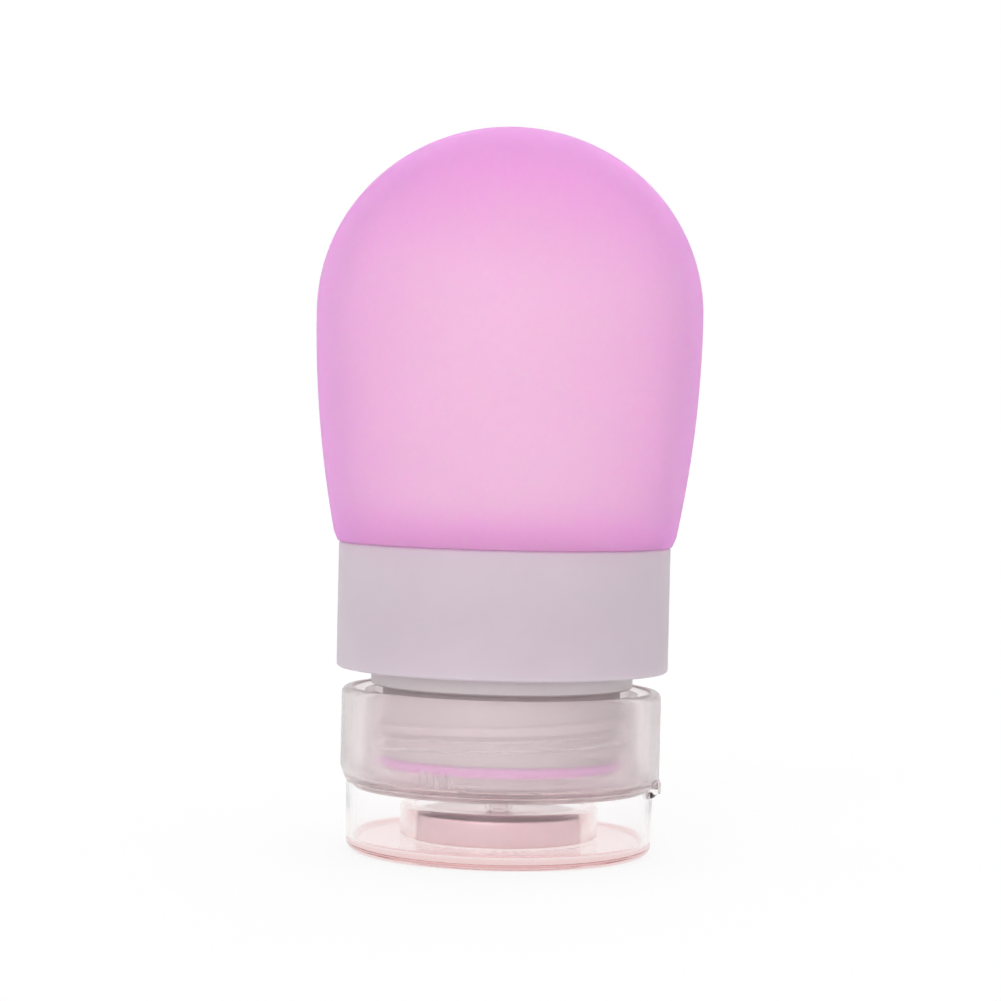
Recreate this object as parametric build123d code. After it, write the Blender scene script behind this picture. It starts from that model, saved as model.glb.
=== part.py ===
from build123d import *
import os
from math import cos, pi, sin

# Travel silicone bottle that stands on its flip cap. Millimetres, +Z up from the lid's outer face, on which
# it rests, front at -Y. The lid's hinge is on the right, +X, and its thumb notch on the left.

# Heights that stack up from the floor to the top of the dome
lid_height = 8.1  # outer face of the lid to its rim
seam_gap = 0.2  # rim of the lid to the shoulder of the cap
cap_height = 10.7  # shoulder of the cap to its rim
collar_gap = 2.3  # rim of the cap to the lower rim of the collar
collar_height = 14.5
bulb_height = 48.2  # upper rim of the collar to the top of the dome

# Radii and walls that stack up from the mouth outwards
mouth_radius = 10.85
neck_skin = 1.5  # silicone inside the threaded neck
seat_clearance = 0.05  # silicone to the plastic that holds it
neck_wall = 1.4  # plastic of the threaded neck, under its thread
thread_depth = 0.8
thread_radial_clearance = 0.35  # crest of either thread to the root of the other
cap_inner_wall = 0.9  # the skirt that carries the cap's thread
skirt_gap = 1.5  # inner skirt to outer skirt
cap_wall = 1.2  # outer skirt of the cap
collar_overhang = 0.7  # how far the collar stands out past the cap
bulb_swell = 3.14  # how far the widest part of the bulb stands out past the collar
foot_overhang = 0.6  # how far the bulb's foot stands out past the collar, before its rounding
lid_inset = 0.7  # how far the lid stands in from the cap

# Silicone squeeze body
bulb_wall = 2.6
bulb_waist_rise = 26.6  # upper rim of the collar to the bulb's widest level
dome_steps = 8
foot_round = 1.0
band_skin = 1.6  # silicone inside the collar's band
band_taper_share = 0.725  # of the height from the web to the foot: above it the inside widens to the bulb
flange_taper_share = 0.57  # of the same height: below it the inside narrows to the root
flange_skin = 1.4  # silicone on the collar's web, at the root
lip_thickness = 1.1  # the lip that is folded out over the end of the neck, and seals on the cap
lip_running_clearance = 0.15  # lip to the crest of the cap's thread that passes it

# Collar: outer band, web, stepped root and threaded neck
collar_wall = 1.2
web_recess = 3.7  # lower rim of the collar to its web
web_thickness = 1.4
root_step = 1.4  # how far the root stands out past the neck
root_clearance = 0.3  # rim of the cap to the root
root_shelf = 1.3
collar_edge_round = 0.35

# Thread: one start, right-handed, on the neck and in the cap's inner skirt
thread_pitch = 3.2
thread_crest = 0.8
thread_base = 1.5
thread_sink = 0.2  # how deep a ridge is rooted in its wall
neck_thread_lead = 1.25  # end of the neck to the first turn
neck_thread_share = 0.7  # of the height from the first turn to the root
cap_thread_share = 0.5  # of the height from the first turn to the rim of the inner skirt
thread_angle = -40.0  # where the neck's first turn starts, seen from above

# Screw cap
step_height = 0.8  # the step that the lid closes over
deck_thickness = 1.4
seal_bead_height = 1.0
seal_bead_width = 1.4
seal_bead_setback = 0.45  # outside of the bead in from the cap's thread crest
seal_gap = 0.1  # bead to lip, before the cap is done up tight
inner_skirt_setback = 0.4  # rim of the inner skirt below the rim of the outer one
nozzle_radius = 1.55
nozzle_bore = 0.9
nozzle_length = 2.8
nozzle_round = 0.3
cap_shoulder_round = 1.0
cap_rim_round_share = 0.7  # of the outer skirt's wall
step_round = 0.3
stop_rib_count = 5  # short upright ribs on the foot of the inner skirt
stop_rib_group_count = 3
stop_rib_thickness = 0.35
stop_rib_height = 1.8
stop_rib_reach = 0.6
stop_rib_spacing = 3.2  # degrees
stop_rib_angle = -116.0

# No-drip valve and the ring that holds it, in a socket on the cap's deck
socket_radius = 7.2
socket_wall = 1.0
socket_height = 2.0
valve_clearance = 0.1  # valve and retainer in the socket
valve_flange = 0.8
valve_membrane = 0.55
valve_well_radius = 4.0  # free part of the membrane, and the well in the deck below it
valve_well_depth = 0.7
valve_dish = 0.9  # how far the middle of the membrane is dished up
valve_dish_share = 0.75  # of the dish, halfway out from the middle
slit_length = 4.4
slit_width = 0.14
retainer_bore_margin = 0.4  # retainer's bore outside the free membrane
retainer_flange = 0.8
retainer_notch_count = 4
retainer_notch_width = 1.6
retainer_notch_depth = 0.9

# Flip lid
lid_plate = 1.5
lid_wall = 0.65
lid_draft = 0.15  # how much narrower the lid is at its outer face
lid_clearance = 0.2  # inside of the lid to the cap's step
lid_base_round = 1.2
lid_inner_round = 0.4
seal_ring_radius = 11.5
seal_ring_wall = 1.75
seal_ring_gap = 2.0  # ring to the cap's step
seal_ring_round = 0.25

# Silicone disc inside the lid's ring, which closes the nozzle
nozzle_seal_gap = 0.1  # tip of the nozzle to the disc
nozzle_seal_edge = 0.35

# Living hinge on the right, and the thumb notch on the left
hinge_width = 9.0
hinge_web = 0.3
hinge_reach = 0.65  # how far the web laps each side of the seam
hinge_land_margin = 0.15  # land past the end of the web
hinge_land_slope = 0.7  # height over which the lid's land runs back into its wall
notch_radius = 2.2
notch_depth = 0.8

rooting = 0.15  # how deep a rib or a land is rooted in its wall
cut_overrun = 1.0

# Levels worked out from the heights
shoulder_level = lid_height + seam_gap
step_level = shoulder_level - step_height
deck_level = step_level + deck_thickness
bead_level = deck_level + seal_bead_height
lip_level = bead_level + seal_gap
lip_top_level = lip_level + lip_thickness
neck_end_level = lip_top_level + seat_clearance
cap_rim_level = shoulder_level + cap_height
root_level = cap_rim_level + root_clearance
shelf_level = root_level + root_shelf
collar_level = cap_rim_level + collar_gap
web_level = collar_level + web_recess
web_top_level = web_level + web_thickness
collar_top_level = collar_level + collar_height
foot_level = collar_top_level + seat_clearance
waist_level = collar_top_level + bulb_waist_rise
dome_level = collar_top_level + bulb_height
nozzle_level = step_level - nozzle_length
seal_ring_level = step_level - seal_ring_gap
inner_rim_level = cap_rim_level - inner_skirt_setback
thread_level = neck_end_level + neck_thread_lead
valve_level = deck_level + seat_clearance
retainer_level = valve_level + valve_flange + seat_clearance
socket_level = deck_level + socket_height
hinge_level = lid_height + seam_gap / 2

# Radii worked out from the mouth
neck_bore_radius = mouth_radius + neck_skin + seat_clearance
neck_radius = neck_bore_radius + neck_wall
cap_crest_radius = neck_radius + thread_radial_clearance
cap_thread_radius = cap_crest_radius + thread_depth
inner_skirt_radius = cap_thread_radius + cap_inner_wall
outer_skirt_bore = inner_skirt_radius + skirt_gap
cap_radius = outer_skirt_bore + cap_wall
lip_radius = cap_crest_radius - lip_running_clearance
root_radius = neck_radius + root_step
root_bore_radius = neck_bore_radius + root_step
collar_radius = cap_radius + collar_overhang
collar_bore_radius = collar_radius - collar_wall
band_radius = collar_bore_radius - seat_clearance
band_bore_radius = band_radius - band_skin
root_skin_radius = root_bore_radius - seat_clearance
root_skin_bore = mouth_radius + root_step
bulb_radius = collar_radius + bulb_swell
foot_radius = collar_radius + foot_overhang
lid_radius = cap_radius - lid_inset
lid_bore_radius = lid_radius - lid_wall
step_radius = lid_bore_radius - lid_clearance
bead_radius = cap_crest_radius - seal_bead_setback
retainer_radius = socket_radius - valve_clearance
retainer_bore = valve_well_radius + retainer_bore_margin
nozzle_seal_radius = seal_ring_radius - seal_ring_wall - seat_clearance
hinge_plane = cap_radius - hinge_web
hinge_axis_radius = cap_radius - hinge_web / 2

# The flat lands that the web of the hinge is moulded to
hinge_land_width = hinge_width + 2 * hinge_land_margin
hinge_land_top = hinge_level + hinge_reach + hinge_land_margin
hinge_land_bottom = hinge_level - hinge_reach


def section(corners, rounds=()):
    """Face in the plane of radius and height, with some of its corners rounded."""
    face = Sketch() + make_face(Polyline(*corners, close=True))
    for corner, radius in rounds:
        face = fillet(face.vertices().sort_by_distance((*corner, 0))[0], radius)
    return face


def turned(face):
    """Solid that a face in the plane of radius and height sweeps out round the bottle's axis."""
    return revolve(Plane.XZ * face, Axis.Z)


def tube(inner, outer, low, high):
    """Plain ring between two radii and two levels."""
    return turned(section([(inner, low), (outer, low), (outer, high), (inner, high)]))


def slab(x_low, x_high, width, low, high):
    """Block that is centred across X, between two distances along X and two levels."""
    centre = Pos((x_low + x_high) / 2, 0, (low + high) / 2)
    return centre * Box(x_high - x_low, width, high - low)


def ridge(root, depth, height, angle):
    """Helical thread ridge on a wall: a positive depth stands out of it, a negative one points in."""
    path = Helix(thread_pitch, height, root)
    into_wall = thread_sink if depth < 0 else -thread_sink
    corners = [
        (into_wall, -thread_base / 2),
        (depth, -thread_crest / 2),
        (depth, thread_crest / 2),
        (into_wall, thread_base / 2),
    ]
    start = Plane(origin=path @ 0, x_dir=(1, 0, 0), z_dir=path % 0)
    thread = sweep(start * make_face(Polyline(*corners, close=True)), path=path, is_frenet=True)
    return Pos(0, 0, thread_level) * Rot(0, 0, angle) * thread


def skin(radius, rise, low_radius):
    """Dome and flank of one face of the bulb: a quarter ellipse to the pole, and an arc down to the foot."""
    angles = [step * pi / 2 / dome_steps for step in range(dome_steps)]
    quarter = [(radius * cos(angle), waist_level + rise * sin(angle)) for angle in angles]
    dome = Spline(*quarter, (0, waist_level + rise), tangents=((0, 1), (-1, 0)))
    flank = TangentArc((radius, waist_level), (low_radius, foot_level + foot_round), tangent=(0, -1))
    return dome, flank


def squeeze_body():
    """Hollow silicone bulb, its band inside the collar, its neck and the lip folded over the neck's end."""
    rise = dome_level - waist_level
    band_height = foot_level - web_top_level
    outside_dome, outside_flank = skin(bulb_radius, rise, foot_radius)
    inside = skin(bulb_radius - bulb_wall, rise - bulb_wall, foot_radius - bulb_wall)
    foot_corner = TangentArc(
        outside_flank @ 1, (foot_radius - foot_round, foot_level), tangent=outside_flank % 1
    )
    below = Polyline(
        (foot_radius - foot_round, foot_level),
        (band_radius, foot_level),
        (band_radius, web_top_level + seat_clearance),
        (root_skin_radius, web_top_level + seat_clearance),
        (root_skin_radius, shelf_level + seat_clearance),
        (neck_bore_radius - seat_clearance, shelf_level + seat_clearance),
        (neck_bore_radius - seat_clearance, lip_top_level),
        (lip_radius, lip_top_level),
        (lip_radius, lip_level),
        (mouth_radius, lip_level),
        (mouth_radius, shelf_level),
        (root_skin_bore, shelf_level + root_step),
        (root_skin_bore, web_top_level + flange_skin),
        (band_bore_radius, web_top_level + flange_taper_share * band_height),
        (band_bore_radius, web_top_level + band_taper_share * band_height),
        (foot_radius - bulb_wall, foot_level + foot_round),
    )
    pole = Line((0, dome_level), (0, dome_level - bulb_wall))
    return turned(make_face([outside_dome, outside_flank, foot_corner, *below.edges(), *inside, pole]))


def collar():
    """Collar: the band that shows, the web, the stepped root and the threaded neck."""
    body = section(
        [
            (collar_radius, collar_level),
            (collar_radius, collar_top_level),
            (collar_bore_radius, collar_top_level),
            (collar_bore_radius, web_top_level),
            (root_bore_radius, web_top_level),
            (root_bore_radius, shelf_level),
            (neck_bore_radius, shelf_level),
            (neck_bore_radius, neck_end_level),
            (neck_radius, neck_end_level),
            (neck_radius, root_level),
            (root_radius, root_level),
            (root_radius, web_level),
            (collar_bore_radius, web_level),
            (collar_bore_radius, collar_level),
        ],
        rounds=[
            ((collar_radius, collar_level), collar_edge_round),
            ((collar_radius, collar_top_level), collar_edge_round),
            ((root_radius, root_level), collar_edge_round),
            ((neck_radius, root_level), collar_edge_round),
        ],
    )
    height = neck_thread_share * (root_level - thread_level)
    return turned(body) + ridge(neck_radius, thread_depth, height, thread_angle)


def cap_section():
    """Half section of the cap: nozzle, stepped deck, two skirts, seal bead and the valve's socket."""
    return section(
        [
            (nozzle_bore, nozzle_level),
            (nozzle_radius, nozzle_level),
            (nozzle_radius, step_level),
            (step_radius, step_level),
            (step_radius, shoulder_level),
            (cap_radius, shoulder_level),
            (cap_radius, cap_rim_level),
            (outer_skirt_bore, cap_rim_level),
            (outer_skirt_bore, deck_level),
            (inner_skirt_radius, deck_level),
            (inner_skirt_radius, inner_rim_level),
            (cap_thread_radius, inner_rim_level),
            (cap_thread_radius, deck_level),
            (bead_radius, deck_level),
            (bead_radius, bead_level),
            (bead_radius - seal_bead_width, bead_level),
            (bead_radius - seal_bead_width, deck_level),
            (socket_radius + socket_wall, deck_level),
            (socket_radius + socket_wall, socket_level),
            (socket_radius, socket_level),
            (socket_radius, deck_level),
            (valve_well_radius, deck_level),
            (valve_well_radius, deck_level - valve_well_depth),
            (nozzle_bore, deck_level - valve_well_depth),
        ],
        rounds=[
            ((cap_radius, shoulder_level), cap_shoulder_round),
            ((cap_radius, cap_rim_level), cap_rim_round_share * cap_wall),
            ((step_radius, step_level), step_round),
            ((nozzle_radius, nozzle_level), nozzle_round),
            ((nozzle_radius, step_level), nozzle_round),
        ],
    )


def stop_ribs():
    """Groups of short upright ribs round the foot of the inner skirt."""
    rib = slab(
        inner_skirt_radius - rooting,
        inner_skirt_radius + stop_rib_reach,
        stop_rib_thickness,
        deck_level,
        deck_level + stop_rib_height,
    )
    ribs = []
    for group in range(stop_rib_group_count):
        for number in range(stop_rib_count):
            from_middle = (number - (stop_rib_count - 1) / 2) * stop_rib_spacing
            ribs.append(Rot(0, 0, stop_rib_angle + group * 360 / stop_rib_group_count + from_middle) * rib)
    return ribs


def cap_hinge_land():
    """Flat land at the foot of the cap's outer skirt, on the hinge side."""
    block = slab(outer_skirt_bore / 2, hinge_plane, hinge_land_width, shoulder_level, hinge_land_top)
    return block - Pos(0, 0, shoulder_level) * Cylinder(outer_skirt_bore + rooting, 2 * cap_height)


def hinge_recess():
    """Space that the web takes out of the curved face of the outer skirt."""
    low = shoulder_level - cut_overrun
    return slab(hinge_plane, cap_radius + cut_overrun, hinge_land_width, low, hinge_land_top)


def thumb_notch():
    """Bar across the axis that scoops the shoulder of the cap, opposite the hinge, to bare the lid's rim."""
    bar = Rot(90, 0, 0) * Cylinder(notch_radius, 2 * cap_radius)
    return Pos(-(cap_radius + notch_radius - notch_depth), 0, shoulder_level) * bar


def screw_cap():
    """Clear screw cap."""
    body = turned(cap_section())
    height = cap_thread_share * (inner_rim_level - thread_level)
    thread = ridge(cap_thread_radius, -thread_depth, height, thread_angle - 180)
    return body + thread + stop_ribs() + cap_hinge_land() - hinge_recess() - thumb_notch()


def slit_valve():
    """Silicone disc with a flange, a dished membrane and a cross slit."""
    middle_level = valve_level + valve_dish
    halfway_level = valve_level + valve_dish_share * valve_dish
    flange = tube(valve_well_radius, retainer_radius, valve_level, valve_level + valve_flange)
    lower = ThreePointArc(
        (valve_well_radius, valve_level), (valve_well_radius / 2, halfway_level), (0, middle_level)
    )
    upper = Pos(0, valve_membrane) * lower
    pole = Line(lower @ 1, upper @ 1)
    edge = Line(lower @ 0, upper @ 0)
    membrane = turned(make_face([lower, upper, pole, edge]))
    deep = 2 * (valve_dish + valve_membrane)
    slit = Box(slit_length, slit_width, deep) + Box(slit_width, slit_length, deep)
    return flange + membrane - Pos(0, 0, middle_level) * slit


def valve_retainer():
    """Ring that snaps into the socket and holds the valve's flange down, notched round its rim."""
    flange_level = socket_level + seat_clearance
    flange_top = flange_level + retainer_flange
    rim_radius = socket_radius + socket_wall
    ring = section(
        [
            (retainer_bore, retainer_level),
            (retainer_radius, retainer_level),
            (retainer_radius, flange_level),
            (rim_radius, flange_level),
            (rim_radius, flange_top),
            (retainer_bore, flange_top),
        ],
        rounds=[((rim_radius, flange_top), retainer_flange / 2)],
    )
    notch = slab(
        rim_radius - retainer_notch_depth,
        rim_radius + cut_overrun,
        retainer_notch_width,
        flange_level - cut_overrun,
        flange_top + cut_overrun,
    )
    notches = [Rot(0, 0, n * 360 / retainer_notch_count) * notch for n in range(retainer_notch_count)]
    return turned(ring) - notches


def lid_hinge_land():
    """Wedge on the lid's wall that carries the web, and runs back into the wall below it."""
    slope_foot = hinge_land_bottom - hinge_land_slope
    inside = lid_bore_radius / 2
    wedge = section(
        [
            (inside, lid_height),
            (hinge_plane, lid_height),
            (hinge_plane, hinge_land_bottom),
            (lid_bore_radius + rooting, slope_foot),
            (inside, slope_foot),
        ]
    )
    block = Pos(0, hinge_land_width / 2, 0) * extrude(Plane.XZ * wedge, hinge_land_width)
    return block - Cylinder(lid_bore_radius + rooting, 2 * (lid_height + cut_overrun))


def flip_lid():
    """Clear lid: outer plate, thin wall and the ring that holds the nozzle's seal."""
    ring_bore = seal_ring_radius - seal_ring_wall
    cup = section(
        [
            (0, 0),
            (lid_radius - lid_draft, 0),
            (lid_radius, lid_height),
            (lid_bore_radius, lid_height),
            (lid_bore_radius - lid_draft, lid_plate),
            (seal_ring_radius, lid_plate),
            (seal_ring_radius, seal_ring_level),
            (ring_bore, seal_ring_level),
            (ring_bore, lid_plate),
            (0, lid_plate),
        ],
        rounds=[
            ((lid_radius - lid_draft, 0), lid_base_round),
            ((lid_bore_radius - lid_draft, lid_plate), lid_inner_round),
            ((seal_ring_radius, seal_ring_level), seal_ring_round),
            ((ring_bore, seal_ring_level), seal_ring_round),
        ],
    )
    return turned(cup) + lid_hinge_land()


def nozzle_seal():
    """Silicone disc inside the lid's ring, under the tip of the nozzle."""
    low = lid_plate + seat_clearance
    top = nozzle_level - nozzle_seal_gap
    return turned(
        section(
            [
                (0, low),
                (nozzle_seal_radius, low),
                (nozzle_seal_radius, top - nozzle_seal_edge),
                (nozzle_seal_radius - nozzle_seal_edge, top),
                (0, top),
            ]
        )
    )


def living_hinge():
    """Thin web that joins the cap to the lid across the seam."""
    return slab(hinge_plane, cap_radius, hinge_width, hinge_land_bottom, hinge_level + hinge_reach)


def main():
    """Build every piece and write one file for each."""
    os.makedirs("parts", exist_ok=True)
    nodes = {
        "squeeze_body": squeeze_body(),
        "collar": collar(),
        "screw_cap": screw_cap(),
        "slit_valve": slit_valve(),
        "valve_retainer": valve_retainer(),
        "flip_lid": flip_lid(),
        "nozzle_seal": nozzle_seal(),
        "living_hinge": living_hinge(),
    }
    for name, shape in nodes.items():
        export_step(shape, f"parts/{name}.step")
        print(f"{name}: {shape.volume:.1f} mm3")
    print(f"lid hinge axis: x {hinge_axis_radius:.2f}, z {hinge_level:.2f}")


main()
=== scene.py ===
"""Travel silicone bottle on its clear flip cap: every piece that shows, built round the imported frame."""

import logging
import math
from dataclasses import dataclass
from enum import Enum
from typing import Callable, Sequence

import bmesh
import bpy
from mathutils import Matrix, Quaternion, Vector


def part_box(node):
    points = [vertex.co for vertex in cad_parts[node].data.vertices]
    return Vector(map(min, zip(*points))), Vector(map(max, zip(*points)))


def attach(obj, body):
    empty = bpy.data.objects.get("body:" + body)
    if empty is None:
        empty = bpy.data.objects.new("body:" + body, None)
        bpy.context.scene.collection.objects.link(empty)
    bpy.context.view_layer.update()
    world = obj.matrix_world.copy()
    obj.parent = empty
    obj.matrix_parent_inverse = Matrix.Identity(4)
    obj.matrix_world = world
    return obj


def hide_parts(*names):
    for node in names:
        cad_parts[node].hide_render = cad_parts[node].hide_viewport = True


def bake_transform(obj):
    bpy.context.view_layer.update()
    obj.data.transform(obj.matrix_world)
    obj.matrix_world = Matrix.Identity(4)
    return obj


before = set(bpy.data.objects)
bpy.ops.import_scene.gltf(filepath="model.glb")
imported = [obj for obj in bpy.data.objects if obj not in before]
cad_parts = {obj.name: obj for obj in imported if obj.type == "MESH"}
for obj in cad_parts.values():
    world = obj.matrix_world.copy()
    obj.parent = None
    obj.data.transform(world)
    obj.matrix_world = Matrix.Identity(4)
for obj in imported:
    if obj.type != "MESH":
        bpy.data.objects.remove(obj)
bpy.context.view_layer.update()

log = logging.getLogger("travel_bottle")

Material = bpy.types.Material
Socket = bpy.types.NodeSocket
Ring = tuple[float, float]  # radius and level of a circle round the bottle's axis, in millimetres

MM = 0.001
FULL_TURN = 2 * math.pi
ROUND_STEPS = 192
TOUCH = 0.0005  # millimetres within which a point counts as lying at a place
POLE = 0.05  # radius in millimetres of the small ring that is drawn together on the axis
SHARPEST = 32.0  # degrees between two faces above which their edge stays sharp
WHITE = "#FFFFFF"

# Sockets of a Mix node that mixes colours. Its sockets for other kinds of value have the same names
MIX_SHARE = 0
MIX_FROM = 6
MIX_TO = 7
MIX_RESULT = 2


class Mating(Enum):
    """How one solid is combined with another."""

    JOIN = "UNION"
    CUT = "DIFFERENCE"


class Side(Enum):
    """Which way a thread's ridge stands off its wall."""

    OUT = 1
    IN = -1


def linear(hex_colour: str) -> tuple[float, float, float, float]:
    """Turn an sRGB colour into the linear one that a shader takes.

    Args:
        hex_colour: Six hexadecimal digits, with or without a leading mark.

    Returns:
        Red, green, blue and an alpha of one, the colours linear.
    """
    digits = hex_colour.lstrip("#")
    parts = [int(digits[i : i + 2], 16) / 255 for i in (0, 2, 4)]
    red, green, blue = (
        part / 12.92 if part <= 0.04045 else ((part + 0.055) / 1.055) ** 2.4 for part in parts
    )
    return red, green, blue, 1.0


def at(*lengths: float) -> Vector:
    """Turn a point in millimetres into metres."""
    return Vector(lengths) * MM


def deselect_all() -> None:
    """Leave edit mode and deselect every object."""
    if bpy.context.object and bpy.context.object.mode != "OBJECT":
        bpy.ops.object.mode_set(mode="OBJECT")
    bpy.ops.object.select_all(action="DESELECT")


class Workpiece:
    """One mesh on the bench, with the modelling steps that all the pieces share."""

    def __init__(self, name: str) -> None:
        """Take over the primitive that was just added, with its place moved into its mesh.

        Args:
            name: The piece's name.
        """
        self.obj = bpy.context.active_object
        self.obj.name = self.obj.data.name = name
        bpy.ops.object.transform_apply(location=True, rotation=True, scale=True)

    def hold(self) -> None:
        """Select this piece alone and make it the active one."""
        deselect_all()
        self.obj.select_set(True)
        bpy.context.view_layer.objects.active = self.obj

    def edit(self, wanted: Callable[[Vector], bool] | None = None) -> None:
        """Open the mesh for editing, with all of it selected or a part of it.

        Args:
            wanted: The test that a point passes to be selected, in millimetres.
        """
        self.hold()
        bpy.ops.object.mode_set(mode="EDIT")
        bpy.ops.mesh.select_mode(type="VERT")
        bpy.ops.mesh.select_all(action="SELECT")
        if wanted:
            self.select(wanted)

    def leave(self) -> None:
        """Close the mesh after editing."""
        bpy.ops.object.mode_set(mode="OBJECT")

    def select(self, wanted: Callable[[Vector], bool]) -> None:
        """Select the points that pass a test, and the edges and faces between them.

        Args:
            wanted: The test of a point, in millimetres.
        """
        bpy.ops.mesh.select_all(action="DESELECT")
        mesh = bmesh.from_edit_mesh(self.obj.data)
        for point in mesh.verts:
            point.select_set(wanted(point.co / MM))
        mesh.select_flush_mode()
        bmesh.update_edit_mesh(self.obj.data)

    def round_rings(self, size: float, *rings: Ring, steps: int = 4) -> None:
        """Round edges that run round the piece.

        Args:
            size: Radius of the rounding, in millimetres.
            rings: Where the sharp edges are.
            steps: Flats that each rounding has.
        """
        for radius, level in rings:
            self.edit(lambda p: abs(p.xy.length - radius) < TOUCH and abs(p.z - level) < TOUCH)
            bpy.ops.mesh.bevel(offset=size * MM, segments=steps, profile=0.5, affect="EDGES")
            self.leave()

    def turn(self, degrees: float) -> None:
        """Turn the piece counter-clockwise about the bottle's axis, as seen from above.

        Args:
            degrees: How far it turns.
        """
        self.edit()
        bpy.ops.transform.rotate(value=-math.radians(degrees), orient_axis="Z", center_override=(0, 0, 0))
        self.leave()

    def combine(self, other: "Workpiece", how: Mating) -> None:
        """Join another closed piece to this one or cut it away, and delete the other.

        Args:
            other: The piece that is used up.
            how: Whether it is joined or cut away.
        """
        self.hold()
        step = self.obj.modifiers.new(how.name, "BOOLEAN")
        step.operation = how.value
        step.solver = "EXACT"
        step.object = other.obj
        bpy.ops.object.modifier_apply(modifier=step.name)
        bpy.data.objects.remove(other.obj)

    def clean(self) -> None:
        """Merge points that coincide and turn all faces outwards."""
        self.edit()
        bpy.ops.mesh.remove_doubles(threshold=TOUCH * MM)
        bpy.ops.mesh.normals_make_consistent(inside=False)
        self.leave()

    def dress(self, finish: Material) -> None:
        """Shade the piece smooth apart from its sharp edges, and give it its finish.

        Args:
            finish: The material all over the piece.
        """
        self.hold()
        bpy.ops.object.shade_smooth_by_angle(angle=math.radians(SHARPEST))
        self.obj.data.materials.clear()
        self.obj.data.materials.append(finish)

    def deliver(self, finish: Material, body: str, node: str, slot: str) -> None:
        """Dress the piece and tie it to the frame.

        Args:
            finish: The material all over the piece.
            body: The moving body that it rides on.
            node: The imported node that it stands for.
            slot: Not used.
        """
        self.dress(finish)
        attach(self.obj, body)
        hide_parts(node)
        log.info("%s: %d faces on %s", self.obj.name, len(self.obj.data.polygons), body)


class TurnedPiece(Workpiece):
    """A round piece that grows from one circle, ring by ring, along its section."""

    def __init__(self, name: str, section: Sequence[Ring]) -> None:
        """Add the first circle and extrude it through the others.

        Args:
            name: The piece's name.
            section: The circles in the order in which the section runs.
        """
        deselect_all()
        radius, level = section[0]
        bpy.ops.mesh.primitive_circle_add(vertices=ROUND_STEPS, radius=radius * MM, location=at(0, 0, level))
        super().__init__(name)
        self.edit()
        for wide, high in section[1:]:
            growth = wide / radius
            bpy.ops.mesh.extrude_edges_move(TRANSFORM_OT_translate={"value": (0, 0, (high - level) * MM)})
            bpy.ops.transform.resize(value=(growth, growth, 1), center_override=at(0, 0, high))
            radius, level = wide, high
        self.leave()

    def close_section(self) -> None:
        """Bridge the last ring to the first."""
        self.edit()
        bpy.ops.mesh.select_all(action="DESELECT")
        bpy.ops.mesh.select_non_manifold(
            extend=False, use_wire=False, use_multi_face=False, use_non_contiguous=False, use_verts=False
        )
        bpy.ops.mesh.bridge_edge_loops()
        self.leave()
        self.clean()

    def close_poles(self, *levels: float) -> None:
        """Close the small rings round the axis, each by merging its points.

        Args:
            levels: The rings' levels, in millimetres.
        """
        for level in levels:
            self.edit(lambda p: p.xy.length < 2 * POLE and abs(p.z - level) < POLE)
            bpy.ops.mesh.merge(type="CENTER")
            self.leave()


class Block(Workpiece):
    """A box between two corners, in millimetres."""

    def __init__(self, name: str, low: Sequence[float], high: Sequence[float]) -> None:
        """Add the box at its size and place.

        Args:
            name: The piece's name.
            low: The corner nearest the left, the front and the floor.
            high: The opposite corner.
        """
        deselect_all()
        corner, opposite = Vector(low), Vector(high)
        bpy.ops.mesh.primitive_cube_add(
            size=1, location=(corner + opposite) / 2 * MM, scale=(opposite - corner) * MM
        )
        super().__init__(name)


class Bar(Workpiece):
    """A round bar along Y."""

    def __init__(self, name: str, radius: float, length: float, centre: Sequence[float]) -> None:
        """Add the bar at its size and place, in millimetres.

        Args:
            name: The piece's name.
            radius: Its radius.
            length: Its length.
            centre: Its middle.
        """
        deselect_all()
        bpy.ops.mesh.primitive_cylinder_add(
            vertices=ROUND_STEPS, radius=radius * MM, depth=length * MM, location=at(*centre),
            rotation=(math.pi / 2, 0, 0),
        )
        super().__init__(name)


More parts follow.
